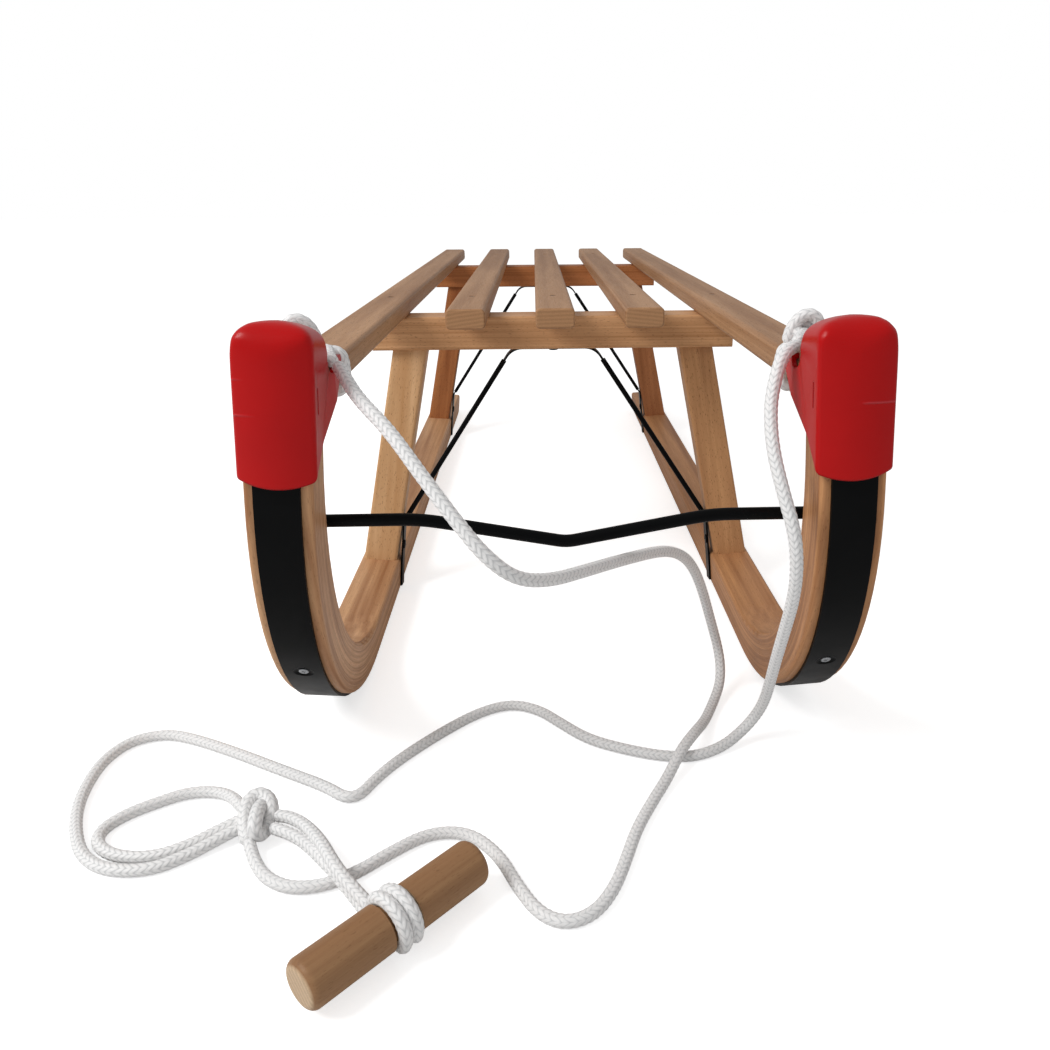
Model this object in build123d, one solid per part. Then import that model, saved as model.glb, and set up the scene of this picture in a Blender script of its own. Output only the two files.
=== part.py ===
from build123d import *
import math
import os

# Two-crossbar wooden sled with bent beech runners, steel shoes, plastic nose caps and a pull rope.
# Millimetres. +Z up, +X is the rider's left, -Y is the way it travels.
# The origin is on the ground, in the middle of the sled's length and width.

# ---- Overall sizes ----
sled_length = 1000.0  # nose cap front to runner heel
seat_height = 252.0  # ground to slat top
track = 313.0  # between the centres of the two runners, on the ground

# ---- Runners: one bent beech lath each, leaning in at the nose ----
runner_width = 34.0
runner_thick = 28.0
runner_lean = 4.2  # degrees that each runner's plane leans inwards
bend_radius = 190.0  # front bend, at the shoe's outer face
inner_bend_radius = 175.0  # front bend, inside: the lath swells a little there
nose_height = 256.0  # top of the runner's nose
nose_rounding = 9.0
heel_radius = 22.0  # rear bottom corner, at the shoe's outer face
runner_edge = 3.0  # rounded long edges

# ---- Steel shoes ----
shoe_width = 23.0
shoe_thick = 2.0
shoe_top = 224.0  # front end, hidden in the nose cap
shoe_heel_top = 25.0

# ---- Seat ----
slat_count = 5
slat_pitch = 67.0
slat_width = 29.5
slat_thick = 15.0
slat_edge = 3.5
slat_end_edge = 1.5
rear_slat_inset = 10.0  # slat ends in from the runner heels
inner_slat_reach = 72.0  # inner slats' overhang in front of the front crossbar

# ---- Crossbars and legs ----
front_crossbar_y = -149.0  # centre
rear_crossbar_y = 369.0
crossbar_length = 300.0
crossbar_depth = 32.0
crossbar_height = 27.0
crossbar_edge = 2.0
leg_spacing_top = 240.0  # between leg centres, under the crossbar
leg_width = 28.0
leg_depth = 20.0
leg_edge = 2.5
leg_rake = 25.0  # feet ahead of heads
tenon_width = 16.0
tenon_depth = 11.0
tenon_length = 13.0
tenon_gap = 0.15

# ---- Steel braces under the crossbars ----
brace_rod = 4.4
brace_plate_width = 12.0
brace_plate_thick = 1.6
brace_half_flat = 35.0  # middle of each bend
brace_bend = 16.0  # bend radius, in the middle of the plate
brace_tongue_length = 17.0  # flat part of the slope, from the middle of the bend
brace_knee_height = 62.0  # where the rod meets the leg
brace_foot_height = 4.5
brace_gap = 0.3  # between a foot strip and the wood
brace_screw_share = 0.55  # of the way from knee to runner

# ---- Front tie bar, on the rear faces of the noses ----
tie_rod = 7.0
tie_height = 168.4
tie_dip = 14.5
tie_dip_reach = 79.0
tie_side_bend = 120.0
tie_middle_bend = 25.0
tie_gap = 0.2  # between the rod and the bent wood
tie_plate_width = 14.0
tie_plate_thick = 3.0
tie_plate_inset = 2.0  # from the runner's inner side
tie_plate_length = 28.0

# ---- Nose caps ----
cap_wall = 2.3
cap_gap = 0.4  # beside the runner
cap_outer_wall = 1.5
cap_crest = 280.8
cap_arch = 6.0  # rise of the crest across its width
cap_shoulder = 10.0
cap_outer_shoulder = 13.0
cap_bulge = 4.2  # of the front face, seen from above
cap_corner = 3.0
cap_brow = 15.0  # between front and crest
cap_back = 274.6  # crest at the rear
cap_lip = 199.4  # lower end of the front
cap_slant = (18.0, 17.0)  # from the lip: back, up
cap_depth = 36.0  # dome, front to rear
cap_rear_lip = 262.0
cap_ear_reach = 58.5
cap_ear_corner = 246.0
cap_ear_top = 255.0
cap_ear_thick = 2.4
cap_ear_flare = 22.0  # over which the ear comes out of the dome's inner wall
cap_slit = (1.4, 13.0)  # mould slit in the inner wall
cap_slit_centre = (-489.0, 241.5)
cap_slat_gap = 0.3
rope_hole = 10.0
rope_hole_y = -461.5
rope_hole_height = 253.5

# ---- Rope and handle ----
rope_diameter = 7.0
handle_diameter = 24.0
handle_length = 103.0
handle_rounding = 4.0
handle_centre = (-85.4, -582.9)
handle_angle = 46.7
wrap_width = 14.5
waist_diameter = 18.0  # waist that the rope turns sit in
waist_width = 16.0
hitch_y = -433.9  # rope turns round each outer slat, behind the cap
hitch_knot = 15.5  # rise of the knot above the turns

knot_size = (19.0, 26.0, 19.0)
knot_rounding = 6.5
knot_centre = (-174.0, -502.5)
knot_angle = -12.0

# ---- Screws ----
screw_shank = 4.0
screw_head = 8.0
shoe_screw_length = 16.0
shoe_screw_sink = 1.0
shoe_dimple = 12.0  # across the dent pressed in the shoe round each screw
shoe_bend_screw = 37.0  # degrees down the front bend
shoe_sole_screws = (-240.0, 0.0, 240.0, 440.0)
slat_screw_head = 5.6
slat_screw_depth = 1.2
slat_screw_length = 32.0
plate_screw_length = 16.0
plate_screw_dome = 2.2

nose_y = -sled_length / 2
heel_y = sled_length / 2
rope_radius = rope_diameter / 2
lean = math.radians(runner_lean)
slat_bottom = seat_height - slat_thick
crossbar_bottom = slat_bottom - crossbar_height
brace_flat_z = crossbar_bottom - brace_plate_thick / 2
cap_front_wall = 4.0  # cap front face to shoe face
shoe_front_y = nose_y + cap_front_wall
runner_rear_face_y = shoe_front_y + shoe_thick + runner_thick
shoe_lift = shoe_width / 2 * math.sin(lean)
runner_top = (shoe_thick + runner_thick) * math.cos(lean) + shoe_lift
outer_slat_x = slat_pitch * (slat_count - 1) / 2
inner_bend_y = runner_rear_face_y + inner_bend_radius
inner_bend_z = shoe_thick + runner_thick + inner_bend_radius
rake = math.atan(leg_rake / (crossbar_bottom - runner_top))


def track_x(height):
    """X of the left runner's centre plane at a height."""
    return track / 2 - math.tan(lean) * (height - shoe_lift)


def stand_left(shape):
    """Carry a shape made in the runner's own upright plane to the left side of the sled."""
    return Location((track / 2, 0, shoe_lift), (0, -runner_lean, 0)) * shape


def both_sides(shape):
    return {"left": shape, "right": mirror(shape, about=Plane.YZ)}


def side_sheet(edges, width, x_centre=0.0):
    """Extrude a closed outline in the YZ plane across X."""
    face = Plane.YZ * make_face(edges)
    return Pos(x_centre, 0, 0) * extrude(face, amount=width / 2, both=True)


def front_sheet(points, depth, y_centre):
    """Extrude a closed outline of (x, z) points along Y."""
    face = Plane.XZ * make_face(Polyline(*points, close=True))
    return Pos(0, y_centre, 0) * extrude(face, amount=depth / 2, both=True)


def outer_run(inset, top):
    """Line of the runner's ground side, inset from the shoe's outer face: nose, front bend, sole, heel."""
    return FilletPolyline(
        (shoe_front_y + inset, top),
        (shoe_front_y + inset, inset),
        (heel_y - inset, inset),
        (heel_y - inset, shoe_heel_top),
        radius=[bend_radius - inset, heel_radius - inset],
    )


def make_runner():
    whole = shoe_thick + runner_thick
    sole = outer_run(shoe_thick, nose_height - nose_rounding)
    inside = FilletPolyline(
        (shoe_front_y + shoe_thick, nose_height - nose_rounding),
        (shoe_front_y + shoe_thick, nose_height),
        (shoe_front_y + whole, nose_height),
        (shoe_front_y + whole, whole),
        (heel_y - shoe_thick, whole),
        (heel_y - shoe_thick, shoe_heel_top),
        radius=[nose_rounding - 0.5, nose_rounding, inner_bend_radius, 4.0],
    )
    body = side_sheet(sole + inside, runner_width)
    sides = body.faces().filter_by(Axis.X)
    body = fillet(sides.edges(), runner_edge)
    for y_centre in (front_crossbar_y, rear_crossbar_y):
        body -= upright_leg_tool(y_centre)
    for screw in shoe_screws():
        body -= screw
    return body


def make_shoe():
    outer = outer_run(0, shoe_top)
    inner = outer_run(shoe_thick, shoe_top)
    ends = Line(outer @ 0, inner @ 0) + Line(outer @ 1, inner @ 1)
    strip = side_sheet(outer + inner + ends, shoe_width)
    for screw in shoe_screws():
        strip -= screw
    return strip


def shoe_screws():
    """Wood screws through the shoe, each in a dent: one in the front bend and a row along the sole."""
    up = (Align.CENTER, Align.CENTER, Align.MIN)
    dent = Cone(shoe_dimple / 2, screw_head / 2, shoe_screw_sink, align=up)
    screw = dent + Cylinder(screw_shank / 2, shoe_screw_length, align=up)
    centre_y = shoe_front_y + bend_radius
    places = [Pos(0, y, 0) for y in shoe_sole_screws]
    turn = shoe_bend_screw - 90.0
    places.append(Location((0, centre_y, bend_radius), (turn, 0, 0)) * Pos(0, 0, -bend_radius))
    return [place * screw for place in places]


# ---- Legs: splayed and raked posts with a tenon at each end ----
leg_foot_x = track_x(runner_top)
splay_run = leg_foot_x - leg_spacing_top / 2
splay_rise = crossbar_bottom - runner_top
splay = math.atan2(splay_run, splay_rise)


def leg_x(height):
    """X of a left leg's centre line at a height."""
    return leg_foot_x - (height - runner_top) * math.tan(splay)


def along_leg(section, reach, y_centre):
    """Run a section along the left leg's line, past both shoulders by a reach and cut parallel to them."""
    foot = Vector(leg_foot_x, y_centre - leg_rake, runner_top)
    head = Vector(leg_spacing_top / 2, y_centre, crossbar_bottom)
    middle = Plane(origin=(foot + head) * 0.5, x_dir=(1, 0, 0), z_dir=head - foot)
    bar = extrude(middle * section, amount=seat_height, both=True)
    wide = track / 2
    rise = wide * math.tan(lean)
    window = [
        (leg_foot_x - wide, runner_top - reach - rise),
        (leg_foot_x + wide, runner_top - reach + rise),
        (leg_foot_x + wide, crossbar_bottom + reach),
        (leg_foot_x - wide, crossbar_bottom + reach),
    ]
    return bar & front_sheet(window, track, y_centre)


def make_tenons(y_centre, gap):
    section = Rectangle(tenon_width + 2 * gap, tenon_depth + 2 * gap)
    return along_leg(section, tenon_length + gap, y_centre)


def upright_leg_tool(y_centre):
    """The left leg's mortise tool, carried back into the runner's own upright plane."""
    placed = Location((track / 2, 0, shoe_lift), (0, -runner_lean, 0)).inverse()
    return placed * make_tenons(y_centre, tenon_gap)


def make_leg(y_centre):
    post = along_leg(RectangleRounded(leg_width, leg_depth, leg_edge), 0, y_centre)
    return post + make_tenons(y_centre, 0)


def make_crossbar(y_centre):
    bar = Box(crossbar_length, crossbar_depth, crossbar_height)
    bar = fillet(bar.edges().filter_by(Axis.X), crossbar_edge)
    bar = Pos(0, y_centre, crossbar_bottom + crossbar_height / 2) * bar
    tool = make_tenons(y_centre, tenon_gap)
    bar -= tool
    bar -= mirror(tool, about=Plane.YZ)
    for x_centre in slat_places():
        bar -= slat_screw(x_centre, y_centre)
    return bar


# ---- Seat slats ----
def slat_places():
    return [slat_pitch * (i - (slat_count - 1) / 2) for i in range(slat_count)]


def slat_screw(x_centre, y_centre):
    """Countersunk wood screw through a slat into its crossbar."""
    head_depth = (slat_screw_head - screw_shank) / 2
    sunk = seat_height - slat_screw_depth
    hang = (Align.CENTER, Align.CENTER, Align.MAX)
    head = Cone(screw_shank / 2, slat_screw_head / 2, head_depth, align=hang)
    shank = Cylinder(screw_shank / 2, slat_screw_length, align=hang)
    return Pos(x_centre, y_centre, sunk) * (head + shank)


def make_slat(x_centre, front_y):
    rear_y = heel_y - rear_slat_inset
    length = rear_y - front_y
    bar = Box(slat_width, length, slat_thick)
    bar = fillet(bar.edges().filter_by(Axis.Y), slat_edge)
    ends = bar.faces().filter_by(Axis.Y)
    bar = fillet(ends.edges(), slat_end_edge)
    bar = Pos(x_centre, (front_y + rear_y) / 2, slat_bottom + slat_thick / 2) * bar
    for y_centre in (front_crossbar_y, rear_crossbar_y):
        bar -= slat_screw(x_centre, y_centre)
        recess = Cylinder(slat_screw_head / 2, slat_thick, align=(Align.CENTER, Align.CENTER, Align.MIN))
        bar -= Pos(x_centre, y_centre, seat_height - slat_screw_depth) * recess
    return bar


# ---- Braces ----
# A brace's rods and feet are laid out at slant heights, then leaned forwards with the legs.
def slant(height):
    """Height along the raked legs, for a true height."""
    return crossbar_bottom - (crossbar_bottom - height) / math.cos(rake)


def lean_forwards(shape, y_centre):
    turned = Location((0, y_centre, crossbar_bottom), (-math.degrees(rake), 0, 0))
    return turned * Pos(0, 0, -crossbar_bottom) * shape


def bar_between(start, end, diameter):
    """Round bar between two (x, z) points."""
    a = Vector(start[0], 0, start[1])
    b = Vector(end[0], 0, end[1])
    plane = Plane(origin=a, z_dir=b - a)
    return extrude(plane * Circle(diameter / 2), amount=(b - a).length)


def strip_along(line):
    """Flat strip with its middle on an (x, z) line and its width along Y."""
    face = Plane.XZ * trace(line, brace_plate_thick)
    return extrude(face, amount=brace_plate_width / 2, both=True)


def leg_inner_x(height):
    return leg_x(height) - leg_width / 2 / math.cos(splay)


def runner_inner_x(height):
    return track_x(height) - runner_width / 2 / math.cos(lean)


def brace_foot_points():
    clear = brace_plate_thick / 2 + brace_gap
    rim_z = runner_top - 2 * runner_edge
    knee = (leg_inner_x(brace_knee_height) - clear, slant(brace_knee_height))
    rim = (runner_inner_x(rim_z) - clear, slant(rim_z))
    foot = (runner_inner_x(brace_foot_height) - clear, slant(brace_foot_height))
    return knee, rim, foot


def brace_slope(reach):
    """Point on the brace's slope, a reach away from its upper bend."""
    knee = brace_foot_points()[0]
    top = crossbar_bottom - brace_plate_thick / 2
    fall = math.atan2(top - knee[1], knee[0] - brace_half_flat)
    return brace_half_flat + reach * math.cos(fall), top - reach * math.sin(fall)


def make_brace(y_centre):
    knee, rim, foot = brace_foot_points()
    bend = brace_slope(0)
    over = FilletPolyline((0, bend[1]), bend, brace_slope(brace_tongue_length), radius=brace_bend)
    flat = Pos(0, y_centre, 0) * strip_along(over)
    slope_length = math.dist(bend, knee)
    rod_end = brace_slope(slope_length - brace_rod)
    rod = bar_between(brace_slope(brace_tongue_length - brace_rod), rod_end, brace_rod)
    lower = strip_along(Polyline(brace_slope(slope_length - 2 * brace_rod), knee, rim, foot))
    side = flat + lean_forwards(rod + lower, y_centre)
    brace = side + mirror(side, about=Plane.YZ)
    for screw in brace_screw_list(y_centre):
        brace -= screw
    return brace


def plate_screw(length):
    """Pan-head screw lying along +X, its head's underside at X = 0."""
    shank = Cylinder(screw_shank / 2, length, align=(Align.CENTER, Align.CENTER, Align.MIN))
    head = Cylinder(screw_head / 2, plate_screw_dome, align=(Align.CENTER, Align.CENTER, Align.MAX))
    head = fillet(head.edges().group_by(Axis.Z)[0], plate_screw_dome * 0.6)
    return Rot(0, 90, 0) * (shank + head)


def brace_screw_list(y_centre):
    """Screws of one brace: one into each leg's foot and one up into the crossbar."""
    knee, rim, foot = brace_foot_points()
    x = knee[0] + (rim[0] - knee[0]) * brace_screw_share - brace_plate_thick / 2
    z = knee[1] + (rim[1] - knee[1]) * brace_screw_share
    tilt = math.degrees(math.atan2(rim[0] - knee[0], knee[1] - rim[1]))
    screw = plate_screw(plate_screw_length)
    leg_screw = lean_forwards(Pos(x, 0, z) * Rot(0, -tilt, 0) * screw, y_centre)
    up = Pos(0, y_centre, crossbar_bottom - brace_plate_thick) * Rot(0, -90, 0) * screw
    return [leg_screw, mirror(leg_screw, about=Plane.YZ), up]


# ---- Tie bar ----
def tie_y(depth):
    """Y at a depth from the inside of the runner's front bend, at the tie bar's height."""
    drop = inner_bend_z - (tie_height - shoe_lift) / math.cos(lean)
    return inner_bend_y - math.sqrt((inner_bend_radius - depth) ** 2 - drop**2)


def make_tie_plate():
    """Flat end bent to the inside of the runner's front bend, on the left side."""
    hollow = Cylinder(inner_bend_radius - tie_plate_thick, tie_plate_length)
    ring = Cylinder(inner_bend_radius, tie_plate_length) - hollow
    ring = Pos(0, inner_bend_y, inner_bend_z) * Rot(0, 90, 0) * ring
    reach = inner_bend_radius
    window = Box(tie_plate_length, reach, tie_plate_width, align=(Align.CENTER, Align.MAX, Align.CENTER))
    window = Pos(0, inner_bend_y, tie_height - shoe_lift) * window
    middle = tie_plate_inset + tie_plate_length / 2 - runner_width / 2
    return stand_left(Pos(middle, 0, 0) * (ring & window))


def tie_screw():
    head = (track_x(tie_height), tie_y(tie_plate_thick), tie_height)
    return Location(head, (0, 0, -90)) * plate_screw(plate_screw_length)


def make_tie_bar():
    y_centre = tie_y(tie_rod / 2 + tie_gap)
    end_x = runner_inner_x(tie_height) + tie_plate_inset + tie_rod
    path = FilletPolyline(
        (-end_x, y_centre, tie_height),
        (-tie_dip_reach, y_centre, tie_height),
        (0, y_centre, tie_height - tie_dip),
        (tie_dip_reach, y_centre, tie_height),
        (end_x, y_centre, tie_height),
        radius=[tie_side_bend, tie_middle_bend, tie_side_bend],
    )
    section = Plane(origin=path @ 0, z_dir=(1, 0, 0)) * Circle(tie_rod / 2)
    plate = make_tie_plate()
    bar = sweep(section, path=path) + plate + mirror(plate, about=Plane.YZ)
    return bar - tie_screw() - mirror(tie_screw(), about=Plane.YZ)


# ---- Nose caps, laid out in the runner's own upright plane ----
cap_half_width = runner_width / 2 + cap_gap + cap_wall
cap_outer_half = runner_width / 2 + cap_gap + cap_outer_wall
cap_rear_y = nose_y + cap_depth
crest_fall = math.degrees(math.atan2(cap_crest - cap_back, cap_depth))
slat_face_x = outer_slat_x - slat_width / 2


def cap_slope_end(y):
    """Height of the cap's slanted lower edge at a place behind its front."""
    start_y = nose_y + cap_slant[0]
    start_z = cap_lip + cap_slant[1]
    end_y = nose_y + cap_ear_reach - 4.0
    return start_z + (cap_ear_corner - start_z) * (y - start_y) / (end_y - start_y)


def cap_side(inset, open_below):
    """Side outline of the dome, or of the space inside it."""
    front = nose_y + inset
    rear = cap_rear_y - inset
    low = cap_lip - open_below
    rim = cap_slope_end(cap_rear_y) - open_below
    outline = FilletPolyline(
        (front, low),
        (front, cap_crest - inset),
        (rear, cap_back - inset),
        (rear, rim),
        radius=[cap_brow - inset, cap_wall + 1.0 - inset],
    )
    knee = (nose_y + cap_slant[0], cap_lip + cap_slant[1] - open_below)
    return outline + Polyline((rear, rim), knee, (front, low))


def cap_front(inset):
    """Front outline of the dome, with its arched crest at height 0."""
    low = cap_lip - cap_crest - cap_depth
    inner = inset - cap_half_width
    outer = cap_outer_half - inset * cap_outer_wall / cap_wall
    shoulder = -cap_arch - inset
    arch = ThreePointArc((inner, shoulder), (0, -inset), (outer, shoulder))
    face = make_face(arch + Polyline((outer, shoulder), (outer, low), (inner, low), (inner, shoulder)))
    inner_corner = face.vertices().group_by(Axis.X)[0].sort_by(Axis.Y)[-1]
    face = fillet(inner_corner, cap_shoulder - inset)
    outer_corner = face.vertices().group_by(Axis.X)[-1].sort_by(Axis.Y)[-1]
    return fillet(outer_corner, cap_outer_shoulder - inset)


def cap_plan(inset):
    """Plan of the dome, with its bulged front and rounded corners."""
    inner = inset - cap_half_width
    outer = cap_outer_half - inset * cap_outer_wall / cap_wall
    edge = nose_y + cap_bulge + inset
    rear = nose_y + 2 * cap_depth
    bulge = ThreePointArc((inner, edge), (0, nose_y + inset), (outer, edge))
    face = make_face(bulge + Polyline((outer, edge), (outer, rear), (inner, rear), (inner, edge)))
    return fillet(face.vertices().group_by(Axis.Y)[0], cap_corner - inset)


def cap_block(inset, open_below):
    side = side_sheet(cap_side(inset, open_below), 3 * cap_half_width)
    front = extrude(Plane.XZ * cap_front(inset), amount=2 * cap_depth, both=True)
    front = Location((0, nose_y, cap_crest), (-crest_fall, 0, 0)) * front
    plan = extrude(cap_plan(inset), amount=cap_crest + cap_depth)
    return side & front & plan


def cap_ear():
    """Ear on the slat's inner side, which flares out of the dome's wall and grips the slat."""
    rear = nose_y + cap_ear_reach
    front = nose_y + cap_slant[0]
    low = cap_lip + cap_slant[1]
    outline = FilletPolyline(
        (front, low),
        (rear - 4.0, cap_ear_corner),
        (rear, cap_ear_corner + 5.0),
        (rear, cap_ear_top),
        (front, cap_ear_top),
        radius=[5.0, 3.0, 2.5],
    )
    outline += Line(outline @ 1, outline @ 0)
    inner = slat_face_x - cap_slat_gap - cap_ear_thick
    outer = slat_face_x + cap_ear_thick
    wall_x = track_x(low) - cap_half_width
    plan = Polyline(
        (outer, front),
        (wall_x, front),
        (inner, front + cap_ear_flare),
        (inner, rear),
        (outer, rear),
        close=True,
    )
    plate = extrude(make_face(plan), amount=cap_crest)
    return plate & side_sheet(outline, cap_depth, outer)


def cap_hollow():
    """Space inside the dome: open below and at the rear, under the rear lip."""
    inside = cap_block(cap_wall, cap_depth)
    width = runner_width + 2 * cap_gap
    way_out = Box(width, cap_depth, cap_rear_lip, align=(Align.CENTER, Align.MIN, Align.MIN))
    return inside + Pos(0, cap_rear_y - cap_depth / 2, 0) * way_out


def make_cap():
    slat_room = Box(
        slat_width + 2 * cap_slat_gap,
        cap_depth * 2,
        slat_thick + 2 * cap_slat_gap,
        align=(Align.CENTER, Align.MIN, Align.CENTER),
    )
    slat_room = Pos(outer_slat_x, runner_rear_face_y, slat_bottom + slat_thick / 2) * slat_room
    hole = Rot(0, 90, 0) * Cylinder(rope_hole / 2, 6 * cap_wall)
    hole = Pos(slat_face_x, rope_hole_y, rope_hole_height) * hole
    slit = Box(3 * cap_wall, *cap_slit)
    slit = Pos(cap_wall / 2 - cap_half_width, *cap_slit_centre) * slit
    body = stand_left(cap_block(0, 0)) + cap_ear()
    return body - stand_left(cap_hollow() + slit) - slat_room - hole


# ---- Rope ----
def corner_radii(points):
    """Largest tangent arc at each corner: 0.45 of the shorter run over the tangent of half the turn."""
    radii = []
    for before, here, after in zip(points, points[1:], points[2:]):
        run_in = Vector(here) - Vector(before)
        run_out = Vector(after) - Vector(here)
        turn = math.radians(run_in.get_angle(run_out))
        radii.append(0.45 * min(run_in.length, run_out.length) / math.tan(turn / 2))
    return radii


def rope_tube(name, points):
    radii = corner_radii(points)
    path = FilletPolyline(*points, radius=radii)
    start = Plane(origin=points[0], z_dir=Vector(points[1]) - Vector(points[0]))
    tube = sweep(start * Circle(rope_radius), path=path)
    expected = math.pi * rope_radius**2 * path.length
    print(name, "length", round(path.length, 1), "volume ratio", round(tube.volume / expected, 4))
    print("  radii", [round(r, 1) for r in radii])
    return tube


lying = rope_radius  # centre height of rope on the ground

right_rope_points = [
    (-114.5, -462, 253),
    (-109, -473, 249),
    (-100.5, -487, 241),
    (-84, -503, 229),
    (-69, -517, 212),
    (-54, -529, 195),
    (-40, -537, 179),
    (-26, -535, 166),
    (-10, -519, 158),
    (8, -492, 151),
    (31, -457, 142),
    (56, -423, 130),
    (79, -394, 111),
    (97, -372, 81),
    (107, -360, 52),
    (113, -354, 32),
    (114, -358, 18),
    (110, -369, 8.5),
    (102, -386, 3.8),
    (92, -409, 4.5),
    (82, -430, 11),
    (70, -449, 11),
    (59, -468, 4.5),
    (48, -487, lying),
    (36, -511, 3.7),
    (28, -534, lying),
    (20, -555, 3.7),
    (9, -571, lying),
    (-5, -577, 3.7),
    (-18, -570, lying),
    (-28, -553, 3.7),
    (-39, -528, lying),
    (-56, -510, 3.7),
    (-78, -509, lying),
    (-98, -525, 3.7),
    (-113, -539, lying),
    (-130, -548, 3.7),
    (-149, -547, lying),
    (-166, -533, 4),
    (-174, -515, 7),
]

left_rope_points = [
    (121, -451, 260),
    (114, -457, 260),
    (108, -463, 255.5),
    (104.5, -469, 245),
    (102, -476, 231),
    (102, -486, 213),
    (106, -496, 194),
    (112, -503, 174),
    (115, -502, 154),
    (117, -494, 133),
    (119, -478, 108),
    (121, -460, 80),
    (123, -444, 53),
    (124, -432, 33),
    (121, -425, 18),
    (112, -427, 8),
    (98, -437, 3.8),
    (79, -446, lying),
    (58, -444, lying),
    (36, -436, 3.7),
    (14, -424, lying),
    (-3, -405, 3.7),
    (-17, -388, lying),
    (-36, -380, 3.7),
    (-57, -389, lying),
    (-81, -413, 3.7),
    (-105, -442, lying),
    (-116, -461, 3.7),
    (-122, -475, lying),
    (-130.5, -477, 3.7),
    (-143, -466, lying),
    (-172, -450, 3.7),
    (-206, -430, lying),
    (-239, -413, 3.7),
    (-260, -406, lying),
    (-279, -413, 3.7),
    (-287.5, -432, lying),
    (-287, -455, 3.7),
    (-283, -477, lying),
    (-274, -499, 3.7),
    (-261, -520, lying),
    (-243, -531.5, 3.7),
    (-220, -532, lying),
    (-200, -522, 4),
    (-184, -510, 7),
]

slack_rope_points = [
    (-186, -494, 8),
    (-193, -479, 5),
    (-206, -468, lying),
    (-223, -468, 3.7),
    (-239, -477, lying),
    (-252, -487, 3.7),
    (-260, -499, lying),
    (-257, -511.5, 3.7),
    (-243, -521, lying),
    (-222, -523, 3.7),
    (-203, -514, 5),
    (-187, -502, 8),
]

upper_strand_points = [
    (-163, -501, 11),
    (-150, -504, 11),
    (-138, -513.5, 11.5),
    (-127, -527, 12.5),
    (-118.5, -541, 13),
    (-111, -553, 12.5),
    (-103.5, -563.5, 11),
    (-94.5, -574.3, 9.5),
]

lower_strand_points = [
    (-163, -509, 10.5),
    (-150, -513.5, 10.5),
    (-139, -523, 10.8),
    (-130, -537, 10.8),
    (-121.5, -550.5, 10.6),
    (-113.5, -561.5, 7.5),
    (-106.5, -570.5, 4.5),
    (-97.5, -580, 3.6),
]


def make_knot():
    block = Box(*knot_size)
    block = fillet(block.edges(), knot_rounding)
    return Pos(*knot_centre, knot_size[2] / 2) * Rot(0, 0, knot_angle) * block


def place_on_handle(shape):
    lift = waist_diameter / 2 + rope_diameter
    return Pos(*handle_centre, lift) * Rot(0, 0, handle_angle) * Rot(0, 90, 0) * shape


def handle_shape():
    bar = Cylinder(handle_diameter / 2, handle_length)
    bar = fillet(bar.edges(), handle_rounding)
    waist = Cylinder(handle_diameter / 2, waist_width) - Cylinder(waist_diameter / 2, waist_width)
    return place_on_handle(bar - waist)


def handle_wrap():
    outer = Cylinder(waist_diameter / 2 + rope_diameter, wrap_width)
    outer = fillet(outer.edges(), rope_radius * 0.8)
    return place_on_handle(outer - Cylinder(waist_diameter / 2, wrap_width))


def make_hitch():
    """Two turns of rope round the outer slat with a knot on top, as one sleeve, on the left side."""
    grow = 2 * rope_diameter
    width = 2 * rope_diameter + 1.0
    sleeve = Box(slat_width + grow, width, slat_thick + grow)
    sleeve = fillet(sleeve.edges().filter_by(Axis.Y), rope_diameter)
    sleeve = fillet(sleeve.edges(), rope_radius * 0.6)
    up = (Align.CENTER, Align.CENTER, Align.MIN)
    knot = Cylinder(width / 2, rope_diameter + hitch_knot, align=up)
    knot = fillet(knot.edges().group_by(Axis.Z)[-1], rope_diameter * 0.9)
    sleeve += Pos(0, 0, slat_thick / 2) * knot
    core = Box(slat_width, 4 * rope_diameter, slat_thick)
    core = fillet(core.edges().filter_by(Axis.Y), slat_edge)
    place = Pos(outer_slat_x, hitch_y, slat_bottom + slat_thick / 2)
    return place * (sleeve - core)


# ---- All nodes ----
def make_nodes():
    nodes = {}
    for side, shape in both_sides(stand_left(make_runner())).items():
        nodes["runner_" + side] = shape
    for side, shape in both_sides(stand_left(make_shoe())).items():
        nodes["runner_shoe_" + side] = shape
    for place, y_centre in (("front", front_crossbar_y), ("rear", rear_crossbar_y)):
        nodes[place + "_crossbar"] = make_crossbar(y_centre)
        for side, shape in both_sides(make_leg(y_centre)).items():
            nodes[place + "_leg_" + side] = shape
        nodes[place + "_brace"] = make_brace(y_centre)
    inner_front = front_crossbar_y - crossbar_depth / 2 - inner_slat_reach
    outer_front = runner_rear_face_y + 1.0
    names = ["outer_slat_right", "inner_slat_right", "middle_slat", "inner_slat_left", "outer_slat_left"]
    for name, x_centre in zip(names, slat_places()):
        front_y = outer_front if name.startswith("outer") else inner_front
        nodes[name] = make_slat(x_centre, front_y)
    nodes["front_tie_bar"] = make_tie_bar()
    for side, shape in both_sides(make_cap()).items():
        nodes["nose_cap_" + side] = shape
    for side, shape in both_sides(make_hitch()).items():
        nodes["rope_hitch_" + side] = shape
    nodes["rope_right"] = rope_tube("rope_right", right_rope_points)
    nodes["rope_left"] = rope_tube("rope_left", left_rope_points)
    nodes["rope_slack_loop"] = rope_tube("rope_slack_loop", slack_rope_points)
    nodes["handle_strand_upper"] = rope_tube("handle_strand_upper", upper_strand_points)
    nodes["handle_strand_lower"] = rope_tube("handle_strand_lower", lower_strand_points)
    nodes["rope_knot"] = make_knot()
    nodes["handle_hitch"] = handle_wrap()
    nodes["pull_handle"] = handle_shape()
    return nodes


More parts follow.
